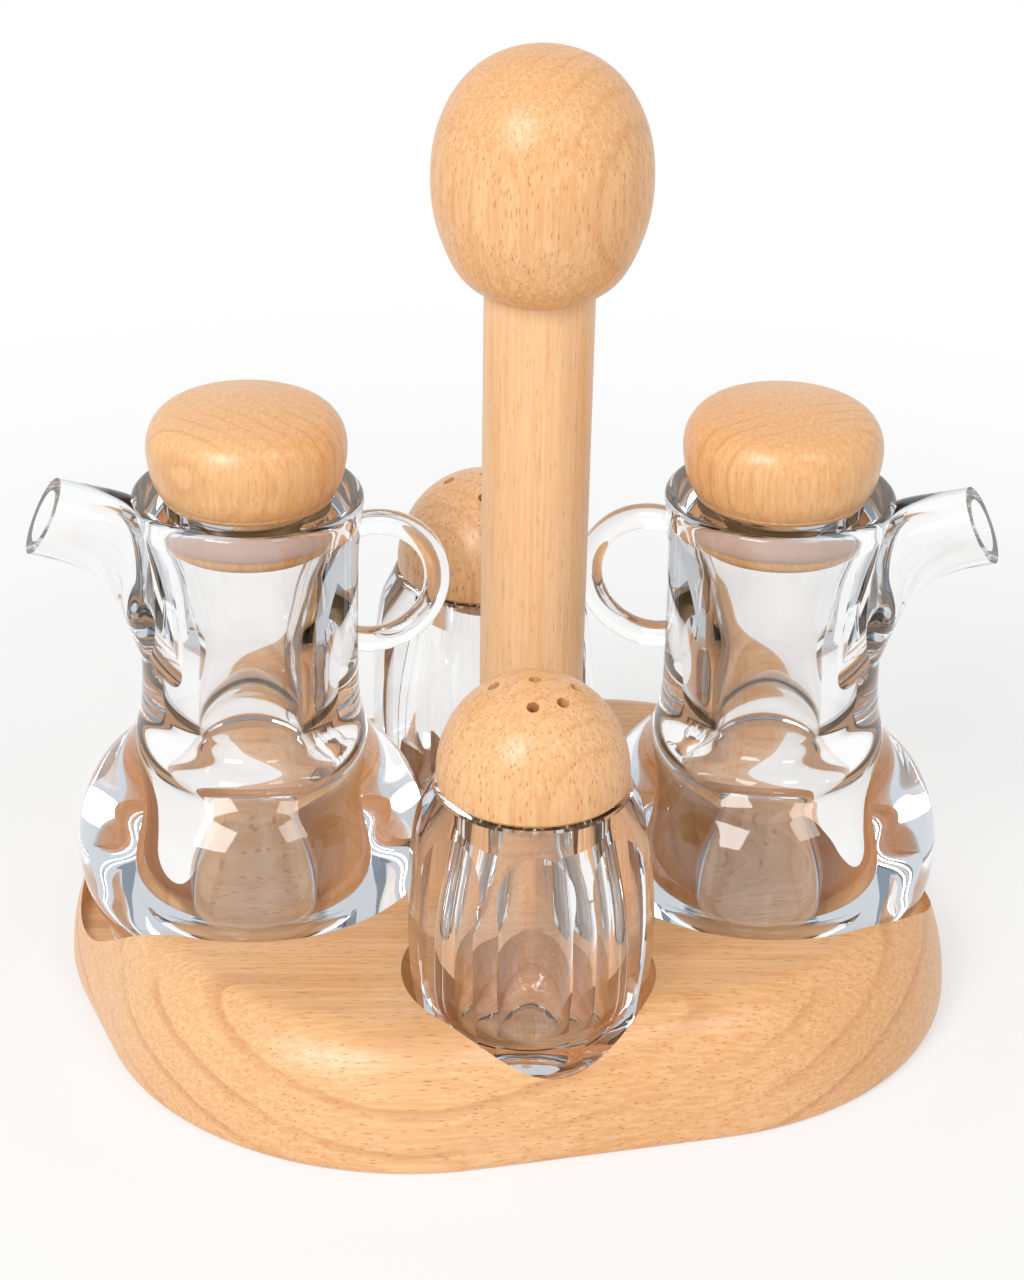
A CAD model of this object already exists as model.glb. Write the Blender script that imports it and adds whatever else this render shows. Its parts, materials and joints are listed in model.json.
import json
import math
import bpy
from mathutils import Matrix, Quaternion, Vector


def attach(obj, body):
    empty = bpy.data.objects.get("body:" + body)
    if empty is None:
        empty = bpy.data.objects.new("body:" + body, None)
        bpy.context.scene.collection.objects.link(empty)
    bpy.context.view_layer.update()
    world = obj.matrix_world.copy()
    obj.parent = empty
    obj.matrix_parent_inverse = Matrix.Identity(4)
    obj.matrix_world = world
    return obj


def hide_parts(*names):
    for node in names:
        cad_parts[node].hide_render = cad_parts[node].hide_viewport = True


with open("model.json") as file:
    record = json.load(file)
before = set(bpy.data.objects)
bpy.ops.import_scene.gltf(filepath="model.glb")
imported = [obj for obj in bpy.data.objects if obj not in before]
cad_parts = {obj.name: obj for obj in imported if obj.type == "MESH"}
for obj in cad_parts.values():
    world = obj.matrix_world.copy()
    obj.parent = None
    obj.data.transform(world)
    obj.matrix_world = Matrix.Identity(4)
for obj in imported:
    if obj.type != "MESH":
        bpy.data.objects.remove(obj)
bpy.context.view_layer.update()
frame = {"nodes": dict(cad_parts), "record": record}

nodes = frame["nodes"]
mm = 0.001
print("frame loaded,", len(nodes), "nodes")


# Shader maths: a Field is one output, and sums of Fields add Math nodes.
class Field:
    def __init__(self, finish, socket):
        self.finish = finish
        self.socket = socket

    def maths(self, operation, *others):
        return self.finish.maths(operation, self, *others)

    def __add__(self, other):
        return self.maths("ADD", other)

    def __radd__(self, other):
        return self.finish.maths("ADD", other, self)

    def __sub__(self, other):
        return self.maths("SUBTRACT", other)

    def __rsub__(self, other):
        return self.finish.maths("SUBTRACT", other, self)

    def __mul__(self, other):
        return self.maths("MULTIPLY", other)

    def __rmul__(self, other):
        return self.finish.maths("MULTIPLY", other, self)

    def __truediv__(self, other):
        return self.maths("DIVIDE", other)

    def __rtruediv__(self, other):
        return self.finish.maths("DIVIDE", other, self)

    def __pow__(self, other):
        return self.maths("POWER", other)

    def also(self, name):  # another output of the same node
        return Field(self.finish, self.socket.node.outputs[name])


class Finish:
    def __init__(self, name, owner=None):
        self.owner = owner or bpy.data.materials.new(name)
        self.owner.use_nodes = True
        self.tree = self.owner.node_tree
        self.tree.nodes.clear()
        self.place = self.add("ShaderNodeTexCoord", {}, {}, "Object")

    def add(self, kind, settings, values=(), out=0):
        node = self.tree.nodes.new(kind)
        for name, value in settings.items():
            if name == "stops":
                self.setStops(node.color_ramp, value)
            else:
                setattr(node, name, value)
        pairs = values.items() if isinstance(values, dict) else enumerate(values)
        for key, value in pairs:
            if isinstance(value, Field):
                self.tree.links.new(value.socket, node.inputs[key])
            else:
                node.inputs[key].default_value = value
        return Field(self, node.outputs[out])

    def setStops(self, ramp, stops):
        while len(ramp.elements) < len(stops):
            ramp.elements.new(0.5)
        for element, (position, colour) in zip(ramp.elements, stops):
            element.position = position
            element.color = (*colour, 1.0)

    def maths(self, operation, *values):
        return self.add("ShaderNodeMath", {"operation": operation}, values)

    def mixColour(self, share, first, second):
        pair = [c if isinstance(c, Field) else (*c, 1.0) for c in (first, second)]
        return self.add("ShaderNodeMix", {"data_type": "RGBA"},
                        {0: share, 6: pair[0], 7: pair[1]}, 2)

    def mapped(self, value, low, high, toLow=0.0, toHigh=1.0):
        return self.add("ShaderNodeMapRange", {"interpolation_type": "SMOOTHSTEP"},
                        {"Value": value, "From Min": low, "From Max": high,
                         "To Min": toLow, "To Max": toHigh}, "Result")

    def noise(self, place, scale, detail=2.0, roughness=0.5):
        return self.add("ShaderNodeTexNoise", {},
                        {"Vector": place, "Scale": scale, "Detail": detail,
                         "Roughness": roughness}, "Fac")

    def joined(self, *values):
        return self.add("ShaderNodeCombineXYZ", {}, values)

    def shader(self, values):
        return self.add("ShaderNodeBsdfPrincipled", {}, values)

    def bump(self, height, strength, distance):
        return self.add("ShaderNodeBump", {},
                        {"Height": height, "Strength": strength, "Distance": distance},
                        "Normal")

    def seen(self):  # rays that show the plain white surroundings
        path = self.add("ShaderNodeLightPath", {}, {}, "Is Camera Ray")
        straight = path.maths("MAXIMUM", path.also("Is Glossy Ray"))
        return straight.maths("MAXIMUM", path.also("Is Transmission Ray"))

    def finished(self, surface, output="ShaderNodeOutputMaterial"):
        out = self.tree.nodes.new(output)
        self.tree.links.new(surface.socket, out.inputs["Surface"])
        return self.owner


# Wood: rings about a pith line, fibres and short dark pores along the grain.
def woodFinish(name, look):
    finish = Finish(name)
    split = finish.add("ShaderNodeSeparateXYZ", {}, (finish.place,), "X")
    axes = {"X": split / mm, "Y": split.also("Y") / mm, "Z": split.also("Z") / mm}
    along = axes.pop(look["grain"])
    across, deep = axes.values()

    def stretched(width, length):
        return finish.joined(across / width, deep / width, along / length)

    wander = finish.noise(stretched(look["wanderWidth"], look["wanderLength"]), 1.0, 1.0)
    fine = finish.noise(stretched(3.0, 60.0), 1.0, 2.0)
    offAcross = across - look["pith"][0]
    offDeep = deep - look["pith"][1]
    radius = (offAcross * offAcross + offDeep * offDeep) ** 0.5
    turn = (radius + wander * look["wander"] + fine * 1.2) / look["ringGap"]
    saw = turn.maths("FRACT")
    lateWood = finish.mapped(saw, 0.66, 0.94) * finish.mapped(saw, 0.94, 1.0, 1.0, 0.0)
    patch = finish.noise(stretched(26.0, 90.0), 1.0, 1.0)
    lateWood = lateWood * finish.mapped(patch, *look["ringPatch"])
    fibre = finish.noise(stretched(look["fibreWidth"], look["fibreLength"]), 1.0, 4.0, 0.62)
    hair = finish.noise(stretched(0.35, 9.0), 1.0, 2.0)
    pores = finish.add("ShaderNodeTexVoronoi", {},
                       {"Vector": stretched(look["poreWidth"], look["poreLength"]),
                        "Scale": 1.0, "Randomness": 1.0}, "Distance")
    chosen = finish.add("ShaderNodeSeparateColor", {}, (pores.also("Color"),), "Red")
    pore = (finish.mapped(pores, 0.12, 0.34, 1.0, 0.0)
            * finish.mapped(chosen, 1.0 - look["poreShare"], 1.05 - look["poreShare"]))
    cloud = finish.noise(finish.place, 14.0, 2.0)

    tone = finish.mapped(fibre, 0.34, 0.66) * 0.6 + finish.mapped(cloud, 0.3, 0.7) * 0.4
    colour = finish.mixColour(tone, look["pale"], look["warm"])
    colour = finish.mixColour(lateWood * look["ringTone"], colour, look["ring"])
    colour = finish.mixColour(finish.mapped(hair, 0.52, 0.80) * look["hairTone"],
                              colour, look["ring"])
    colour = finish.mixColour(pore * look["poreTone"], colour, look["pore"])
    height = fibre * 0.25 + hair * 0.2 - pore * 0.9 - lateWood * 0.1
    gloss = look["roughness"] + (fibre - 0.5) * 0.10 + pore * 0.15
    surface = finish.shader({
        "Base Color": colour, "Roughness": gloss, "IOR": 1.48,
        "Coat Weight": look["coat"], "Coat Roughness": look["coatRoughness"],
        "Normal": finish.bump(height, look["bump"], 0.25 * mm)})
    return finish.finished(surface)


paleWood = (0.89, 0.540, 0.270)
warmWood = (0.74, 0.360, 0.130)
ringWood = (0.52, 0.200, 0.062)
poreWood = (0.42, 0.140, 0.040)

standLook = {
    "grain": "X", "pith": (34.0, -190.0), "ringGap": 9.0, "ringTone": 0.44,
    "wander": 26.0, "wanderWidth": 90.0, "wanderLength": 190.0,
    "ringPatch": (0.36, 0.60), "fibreWidth": 1.0, "fibreLength": 40.0,
    "poreWidth": 0.60, "poreLength": 5.0, "poreShare": 0.62, "poreTone": 0.62,
    "hairTone": 0.34, "roughness": 0.40, "coat": 0.32, "coatRoughness": 0.26,
    "bump": 0.22, "pale": paleWood, "warm": warmWood, "ring": ringWood, "pore": poreWood}
handleLook = dict(standLook, grain="Z", pith=(-60.0, 48.0), ringGap=5.5, wander=10.0,
                  ringTone=0.24, poreLength=4.5, poreShare=0.66, poreTone=0.66,
                  coat=0.22)
stopperLook = dict(standLook, grain="Z", pith=(18.0, 96.0), ringGap=4.4, wander=14.0,
                   ringTone=0.34, fibreLength=30.0, poreWidth=0.5, poreLength=4.0,
                   poreShare=0.42, poreTone=0.42, roughness=0.36, coat=0.30,
                   pale=(0.86, 0.515, 0.240))
capLook = dict(standLook, grain="Z", pith=(-46.0, 10.0), ringGap=4.5, wander=8.0,
               ringTone=0.22, fibreLength=24.0, poreWidth=0.85, poreLength=3.6,
               poreShare=0.74, poreTone=0.66)
postLook = dict(handleLook, ringTone=0.10, poreShare=0.30, poreTone=0.34,
                pale=(0.93, 0.600, 0.330), warm=(0.84, 0.470, 0.215))


# Clear glass with a faint ripple; lamplight passes through it as it would.
glassLook = {"tint": (1.0, 1.0, 1.0, 1.0), "through": (0.85, 0.855, 0.86, 1.0),
             "ior": 1.5, "ripple": 0.02, "rippleScale": 42.0, "dusk": (0.60, 0.645, 0.69, 1.0),
             "longest": 8.5, "mirrored": 2.5}


def glassFinish(name, look):
    finish = Finish(name)
    ripple = finish.noise(finish.place, look["rippleScale"], 2.0)
    clear = finish.shader({
        "Base Color": look["tint"], "Transmission Weight": 1.0, "IOR": look["ior"],
        "Roughness": 0.0,
        "Normal": finish.bump(ripple, look["ripple"], 1.0 * mm)})
    through = finish.add("ShaderNodeBsdfTransparent", {}, {"Color": look["through"]})
    path = finish.add("ShaderNodeLightPath", {}, {}, "Is Shadow Ray")
    passing = path.maths("MAXIMUM", path.also("Is Diffuse Ray"))
    surface = finish.add("ShaderNodeMixShader", {}, (passing, clear, through))
    dusk = finish.add("ShaderNodeBsdfTransparent", {}, {"Color": look["dusk"]})
    # paths that were mirrored often inside leave straight, a little darker
    spent = (path.also("Ray Depth").maths("GREATER_THAN", look["longest"])
             .maths("MAXIMUM", path.also("Glossy Depth").maths("GREATER_THAN", look["mirrored"])))
    return finish.finished(finish.add("ShaderNodeMixShader", {}, (spent, surface, dusk)))


sealLook = {"colour": (0.88, 0.66, 0.55, 1.0), "edge": (0.80, 0.54, 0.44), "roughness": 0.34}


def sealFinish(name, look):
    finish = Finish(name)
    mottle = finish.noise(finish.place, 260.0, 3.0)
    colour = finish.mixColour(mottle, look["colour"][:3], look["edge"])
    surface = finish.shader({
        "Base Color": colour, "Roughness": look["roughness"] + mottle * 0.12,
        "Transmission Weight": 0.25, "IOR": 1.41,
        "Subsurface Weight": 0.3, "Subsurface Scale": 2.0 * mm,
        "Normal": finish.bump(mottle, 0.08, 0.2 * mm)})
    return finish.finished(surface)


steelLook = {"colour": (0.52, 0.51, 0.49), "dull": (0.36, 0.35, 0.34), "roughness": 0.34}


def steelFinish(name, look):
    finish = Finish(name)
    wear = finish.noise(finish.place, 700.0, 3.0)
    surface = finish.shader({
        "Base Color": finish.mixColour(wear, look["colour"], look["dull"]),
        "Metallic": 1.0, "Roughness": look["roughness"] + wear * 0.2,
        "Normal": finish.bump(wear, 0.1, 0.1 * mm)})
    return finish.finished(surface)


finishes = {
    "stand_wood": woodFinish("standWood", standLook),
    "handle_wood": woodFinish("handleWood", handleLook),
    "stopper_wood": woodFinish("stopperWood", stopperLook),
    "cap_wood": woodFinish("capWood", capLook),
    "clear_glass": glassFinish("clearGlass", glassLook),
    "seal_silicone": sealFinish("sealSilicone", sealLook),
    "screw_steel": steelFinish("screwSteel", steelLook)}
slotOf = {part["node"]: part["material_slot"] for part in frame["record"]["subparts"]}
creases = {"clear_glass": 14.0, "screw_steel": 30.0}  # degrees; other slots use the first
plainCrease = 32.0


def dressed(piece, slotName):
    piece.data.materials.clear()
    piece.data.materials.append(finishes[slotName])
    piece.data.shade_smooth()
    piece.data.set_sharp_from_angle(angle=math.radians(creases.get(slotName, plainCrease)))


for name, node in nodes.items():
    dressed(node, slotOf[name])
nodes["handle_post"].data.materials[0] = woodFinish("postWood", postLook)
print("finishes on", len(finishes), "slots")


# Cruet glass: bowl, neck, spout and ring are one piece of glass.
cruetLook = {
    "height": 120.4, "foot": 36.0, "bulge": (44.0, 25.5), "waist": (26.8, 72.0),
    "rim": 28.3, "level": 13.0, "floor": 8.5, "bowl": (20.0, 25.0),
    "throat": (13.4, 60.0), "mouth": (20.3, 9.0), "bevel": 0.8,
    "footRise": ((0.20, 0.34), (0.51, 0.78), (0.78, 0.97)),
    "bellFall": ((0.18, 0.08), (0.34, 0.26), (0.46, 0.52), (0.56, 0.76),
                 (0.67, 0.89), (0.81, 0.97)),
    "bowlRise": ((0.17, 0.64), (0.56, 0.94)),
    "bowlFall": ((0.45, 0.01), (0.64, 0.07), (0.76, 0.45), (0.88, 0.86)),
    "flare": ((0.18, 0.028), (0.40, 0.166), (0.62, 0.478), (0.82, 0.749), (0.94, 0.922)),
    "spout": ((-5.8, -52.4, -1.9, 10.0), (-0.3, -43.4, -0.2, 11.5),
              (5.2, -28.4, 1.9, 11.0), (11.5, -19.2, 3.8, 10.0),
              (19.2, -14.4, 6.2, 9.2), (31.2, -10.9, 9.6, 8.6)),
    "spoutHollow": ((-2.4, -37.0, -9.5, 5.2), (0.7, -32.5, -6.5, 6.8),
                    (5.2, -24.0, -3.0, 7.0), (11.5, -15.5, -0.2, 6.6),
                    (19.2, -11.0, 2.9, 6.2), (33.2, -7.0, 6.5, 5.8)),
    "lip": ((17.7, 6.8), (27.2, -12.3)), "port": ((-0.6, -32.0), (-18.8, -48.5), 4.4),
    "ring": (16.1, 3.2, 4.1, 93.3), "steps": 160, "inset": 0.02}


def smoothCurve(points, count):
    # natural cubic through points of any length, spaced by their distances
    knots = [0.0]
    for a, b in zip(points[:-1], points[1:]):
        knots.append(knots[-1] + math.dist(a, b))
    last = len(points) - 1
    widths = [b - a for a, b in zip(knots[:-1], knots[1:])]
    bends = []
    for axis in range(len(points[0])):
        values = [p[axis] for p in points]
        ratio, carry = [0.0], [0.0]
        for i in range(1, last):
            slope = ((values[i + 1] - values[i]) / widths[i]
                     - (values[i] - values[i - 1]) / widths[i - 1])
            pivot = 2 * (widths[i - 1] + widths[i]) - widths[i - 1] * ratio[-1]
            carry.append((6 * slope - widths[i - 1] * carry[-1]) / pivot)
            ratio.append(widths[i] / pivot)
        bend = [0.0] * (last + 1)
        for i in range(last - 1, 0, -1):
            bend[i] = carry[i] - ratio[i] * bend[i + 1]
        bends.append(bend)
    curve = []
    for step in range(count + 1):
        place = knots[-1] * step / count
        i = min(last - 1, max(k for k in range(last) if knots[k] <= place))
        a, b = (knots[i + 1] - place) / widths[i], (place - knots[i]) / widths[i]
        curve.append(tuple(
            a * points[i][k] + b * points[i + 1][k]
            + ((a ** 3 - a) * bends[k][i] + (b ** 3 - b) * bends[k][i + 1])
            * widths[i] ** 2 / 6 for k in range(len(points[0]))))
    return curve


def eased(start, end, shares):
    return [(start[0] + (end[0] - start[0]) * across, start[1] + (end[1] - start[1]) * along)
            for along, across in shares]


def bow(a, b, c, count):
    # quadratic through three points of a small rounding
    return [tuple((1 - t) * (1 - 2 * t) * a[k] + 4 * t * (1 - t) * b[k]
                  + t * (2 * t - 1) * c[k] for k in (0, 1))
            for t in (i / count for i in range(count + 1))]


def bellProfile(look):
    top, foot, rim = look["height"], look["foot"], look["rim"]
    bulgeRadius, bulgeLevel = look["bulge"]
    neck, neckLevel = look["waist"]
    heel = (foot + 1.4, 0.8)
    side = [heel] + eased((foot, 0), look["bulge"], look["footRise"]) + [look["bulge"]]
    side += eased(look["bulge"], look["waist"], look["bellFall"])
    side += [look["waist"], (neck, (neckLevel + top) / 2), (neck + 0.5, top - 11.0),
             (rim, top - 2.2)]
    lip = bow((rim, top - 2.2), (rim - 0.6, top - 0.6), (rim - 2.2, top), 8)
    under = bow((foot - 0.8, 0), (foot + 0.37, 0.21), heel, 6)
    return [(0, 0)] + under[:-1] + smoothCurve(side, 110) + lip[1:] + [(0, top)]


def hollowProfile(look):
    floor = (0.67 * look["bowl"][0], look["floor"])
    top = look["height"]
    mouth = (look["mouth"][0], top - look["mouth"][1])
    wall = [floor] + eased(floor, look["bowl"], look["bowlRise"]) + [look["bowl"]]
    wall += eased(look["bowl"], look["throat"], look["bowlFall"]) + [look["throat"]]
    flare = [look["throat"]] + eased(look["throat"], mouth, look["flare"]) + [mouth]
    wide = mouth[0] + look["bevel"]
    return ([(0, look["floor"])] + smoothCurve(wall, 80)[:-1] + smoothCurve(flare, 60)
            + [(mouth[0], top - look["bevel"]), (wide, top), (wide, top + 2), (0, top + 2)])


def meshObject(name, points, faces):
    mesh = bpy.data.meshes.new(name)
    mesh.from_pydata([Vector(p) * mm for p in points], [], faces)
    mesh.validate()
    piece = bpy.data.objects.new(name, mesh)
    bpy.context.collection.objects.link(piece)
    return piece


def turnedObject(name, profile, steps):
    points, faces = [], []
    inner = profile[1:-1]
    for r, z in inner:
        points += [(r * math.cos(2 * math.pi * i / steps), r * math.sin(2 * math.pi * i / steps), z)
                   for i in range(steps)]
    low, high = len(points), len(points) + 1
    points += [(0, 0, profile[0][1]), (0, 0, profile[-1][1])]
    for i in range(steps):
        n = (i + 1) % steps
        for row in range(len(inner) - 1):
            a, b = row * steps, (row + 1) * steps
            faces.append((a + i, a + n, b + n, b + i))
        faces.append((low, n, i))
        end = (len(inner) - 1) * steps
        faces.append((high, end + i, end + n))
    return meshObject(name, points, faces)


def loftObject(name, sections, look, lip, around=72, along=46):
    # ovals swept from the neck outward; with a lip, every line ends on its slant
    neck, top = look["waist"][0], look["height"]
    curve = smoothCurve(sections, 400)

    def pointOn(position, angle):
        i = min(399, int(position))
        share = position - i
        out, low, high, half = [a + (b - a) * share for a, b in zip(curve[i], curve[i + 1])]
        return (-neck - out, half * math.sin(angle),
                top + (low + high) / 2 + (high - low) / 2 * math.cos(angle))

    def beyond(point):
        (outTop, zTop), (outLow, zLow) = lip
        run, drop = outLow - outTop, zLow - zTop
        return (-neck - point[0] - outTop) * -drop + (point[2] - top - zTop) * run > 0

    points, faces = [], []
    for j in range(around):
        angle = 2 * math.pi * j / around
        reach = 400.0
        if lip and beyond(pointOn(reach, angle)):
            near = 100.0
            for _ in range(24):
                middle = (near + reach) / 2
                near, reach = (near, middle) if beyond(pointOn(middle, angle)) else (middle, reach)
        points += [pointOn(reach * k / along, angle) for k in range(along + 1)]
    row = along + 1
    for j in range(around):
        n = (j + 1) % around
        faces += [(j * row + k, n * row + k, n * row + k + 1, j * row + k + 1)
                  for k in range(along)]
    faces.append([j * row for j in reversed(range(around))])
    faces.append([j * row + along for j in range(around)])
    return meshObject(name, points, faces)


def rodObject(name, start, goal, radius, steps=48):
    start, goal = Vector(start), Vector(goal)
    turn = (goal - start).to_track_quat("Z", "Y")
    points = []
    for end in (start, goal):
        points += [end + turn @ Vector((radius * math.cos(2 * math.pi * i / steps),
                                        radius * math.sin(2 * math.pi * i / steps), 0))
                   for i in range(steps)]
    faces = [(i, (i + 1) % steps, steps + (i + 1) % steps, steps + i) for i in range(steps)]
    faces += [list(reversed(range(steps))), list(range(steps, 2 * steps))]
    return meshObject(name, points, faces)


def ringObject(name, centre, radius, rod, steps=128, around=40):
    points, faces = [], []
    for i in range(steps):
        turn = 2 * math.pi * i / steps
        for j in range(around):
            lean = 2 * math.pi * j / around
            reach = radius + rod * math.cos(lean)
            points.append((centre[0] + reach * math.cos(turn), rod * math.sin(lean),
                           centre[2] + reach * math.sin(turn)))
    for i in range(steps):
        n = (i + 1) % steps
        for j in range(around):
            m = (j + 1) % around
            faces.append((i * around + j, i * around + m, n * around + m, n * around + j))
    return meshObject(name, points, faces)


def outward(piece):
    # faces turned so that their volume counts as solid
    mesh = piece.data
    mesh.calc_loop_triangles()
    volume = 0.0
    for triangle in mesh.loop_triangles:
        a, b, c = [mesh.vertices[v].co for v in triangle.vertices]
        volume += a.dot(b.cross(c))
    if volume < 0:
        mesh.flip_normals()


def combined(piece, others, operation):
    for other in others:
        outward(other)
        modifier = piece.modifiers.new(operation, "BOOLEAN")
        modifier.object = other
        modifier.operation = operation
        modifier.solver = "MANIFOLD"
    evaluated = piece.evaluated_get(bpy.context.evaluated_depsgraph_get())
    mesh = bpy.data.meshes.new_from_object(evaluated)
    piece.modifiers.clear()
    piece.data = mesh
    for other in others:
        bpy.data.objects.remove(other)


def cruetGlass(look):
    neck, top = look["waist"][0], look["height"]
    glass = turnedObject("cruetGlass", bellProfile(look), look["steps"])
    outward(glass)
    radius, rod, out, level = look["ring"]
    combined(glass, [loftObject("spout", look["spout"], look, look["lip"]),
                     ringObject("ring", (neck + out, 0, level), radius, rod)], "UNION")
    start, goal, bore = look["port"]
    combined(glass, [turnedObject("hollow", hollowProfile(look), look["steps"]),
                     loftObject("spoutHollow", look["spoutHollow"], look, None),
                     rodObject("port", (-neck - start[0], 0, top + start[1]),
                               (-neck - goal[0], 0, top + goal[1]), bore)], "DIFFERENCE")
    return glass


cruetPlaces = {"left": (-64.8, 10.0), "right": (64.8, 164.0)}
plainGlass = cruetGlass(cruetLook)
for side, (x, turn) in cruetPlaces.items():
    glass = plainGlass if side == "left" else bpy.data.objects.new(
        "glass", plainGlass.data.copy())
    glass.name = side + "CruetGlass"
    if side == "right":
        bpy.context.collection.objects.link(glass)
for side, (x, turn) in cruetPlaces.items():
    glass = bpy.data.objects[side + "CruetGlass"]
    spin = Quaternion((0, 0, 1), math.radians(turn))
    for vertex in glass.data.vertices:
        vertex.co = spin @ vertex.co + Vector((x, 0, cruetLook["level"])) * mm
    dressed(glass, "clear_glass")
    glass.data.set_sharp_from_angle(angle=math.radians(38.0))
    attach(glass, "cruet_" + side)
    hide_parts(*[side + "_cruet_" + part
                          for part in ("cup", "shoulder", "neck", "spout", "handle")])
print("cruet glass made,", len(plainGlass.data.polygons), "faces")


# Floor, light and camera
floorLook = {"size": 12.0, "colour": (0.88, 0.88, 0.88, 1.0), "glow": 0.55,
             "nearGlow": 0.16, "farGlow": 0.5}


def floorFinish(look):
    finish = Finish("paleFloor")
    grain = finish.noise(finish.place, 600.0, 2.0)
    matt = finish.shader({"Base Color": look["colour"], "Roughness": 0.85,
                          "Normal": finish.bump(grain, 0.02, 0.1 * mm)})
    white = finish.add("ShaderNodeEmission", {}, {"Color": (1, 1, 1, 1), "Strength": 1.0})
    distance = finish.add("ShaderNodeVectorMath", {"operation": "LENGTH"},
                          (finish.place,), "Value")
    share = finish.mapped(distance, look["nearGlow"], look["farGlow"], look["glow"], 1.0)
    return finish.finished(
        finish.add("ShaderNodeMixShader", {}, (finish.seen() * share, matt, white)))


half = floorLook["size"] / 2
floor = meshObject("floor", [(x / mm, y / mm, 0) for x, y in
                             ((-half, -half), (half, -half), (half, half), (-half, half))],
                   [(0, 1, 2, 3)])
floor.data.materials.append(floorFinish(floorLook))

worldLook = {"colour": (1.0, 1.0, 1.0, 1.0), "strength": 0.60}
world = bpy.data.worlds.new("studio")
bpy.context.scene.world = world
studio = Finish("studio", world)
glow = worldLook["strength"] + studio.seen() * (1.0 - worldLook["strength"])
studio.finished(studio.add("ShaderNodeBackground", {},
                           {"Color": worldLook["colour"], "Strength": glow}),
                "ShaderNodeOutputWorld")

lamps = {"key": {"from": (-0.85, -1.3, 1.5), "size": 0.8, "power": 23.0},
         "fill": {"from": (0.8, -1.1, 1.6), "size": 0.5, "power": 5.0}}
lampAim = Vector((0, 0, 0.10))
for name, lamp in lamps.items():
    light = bpy.data.lights.new(name, "AREA")
    light.energy = lamp["power"]
    light.size = lamp["size"]
    holder = bpy.data.objects.new(name, light)
    bpy.context.collection.objects.link(holder)
    holder.location = lamp["from"]
    holder.rotation_mode = "QUATERNION"
    holder.rotation_quaternion = (lampAim - Vector(lamp["from"])).to_track_quat("-Z", "Y")

viewLook = {"from": (-0.03547, -0.79292, 0.50045), "at": (0.0, 0.0, 0.0925),
            "lens": 101.25, "roll": 1.124}
camera = bpy.data.objects.new("camera", bpy.data.cameras.new("camera"))
bpy.context.collection.objects.link(camera)
camera.data.lens = viewLook["lens"]
camera.data.sensor_width = 36.0
camera.data.sensor_fit = "AUTO"
camera.data.clip_start = 0.01
camera.location = viewLook["from"]
camera.rotation_mode = "QUATERNION"
aim = (Vector(viewLook["at"]) - Vector(viewLook["from"])).to_track_quat("-Z", "Y")
camera.rotation_quaternion = aim @ Quaternion((0, 0, 1), math.radians(viewLook["roll"]))
bpy.context.scene.camera = camera
bpy.context.scene.view_settings.view_transform = "Standard"
print("floor, lamps and camera set")
